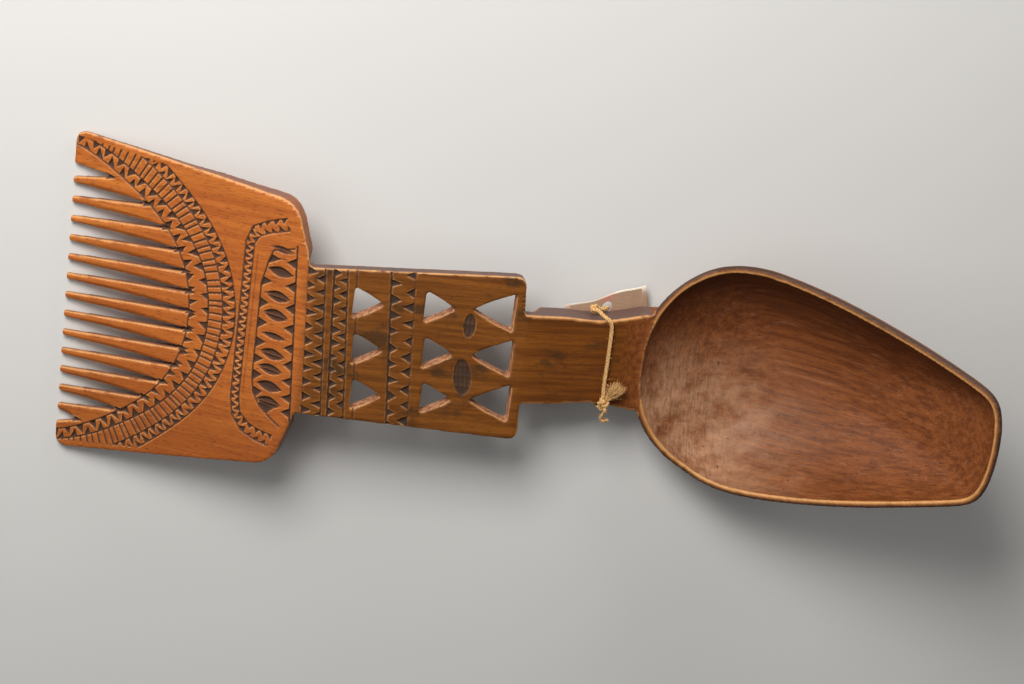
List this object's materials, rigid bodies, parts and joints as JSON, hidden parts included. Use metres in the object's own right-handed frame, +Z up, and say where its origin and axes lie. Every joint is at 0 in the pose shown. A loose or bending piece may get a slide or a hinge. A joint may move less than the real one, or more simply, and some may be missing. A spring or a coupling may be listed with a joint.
{
  "type": "carved wooden comb-spoon with tied card tag",
  "caption": "Hand-carved wooden comb whose openwork handle ends in a deep spoon, with a card tag tied round its neck with twine.",
  "frame": {"origin": "middle of the bounding box on the surface that the piece lies on", "axes": "+X from the comb's teeth to the spoon's tip, +Y across, +Z up out of the carved face"},
  "size_m": [0.2566, 0.0932, 0.0602],
  "materials": {
    "carved_wood": "old hand-polished wood with dark carved lines",
    "twine": "plied plant-fibre twine",
    "tag_card": "matte cream card"
  },
  "bodies": {
    "wood": {"carved_comb_spoon": "carved_wood"},
    "twine": {"front_strand": "twine", "back_strand": "twine", "side_knot": "twine", "front_knot": "twine", "string_tail": "twine", "frayed_tuft": "twine"},
    "tag": {"paper_tag": "tag_card"}
  },
  "joints": [
    {"name": "twine_slide", "type": "slide", "parent": "wood", "child": "twine", "axis": [0.9772, 0, -0.2124], "range_m": [-0.008, 0.001]},
    {"name": "tag_swing", "type": "hinge", "parent": "twine", "child": "tag", "pos_m": [0.0248, 0.01358, 0.00649], "axis": [0.2124, 0, 0.9772], "range_deg": [-25, 5]}
  ]
}
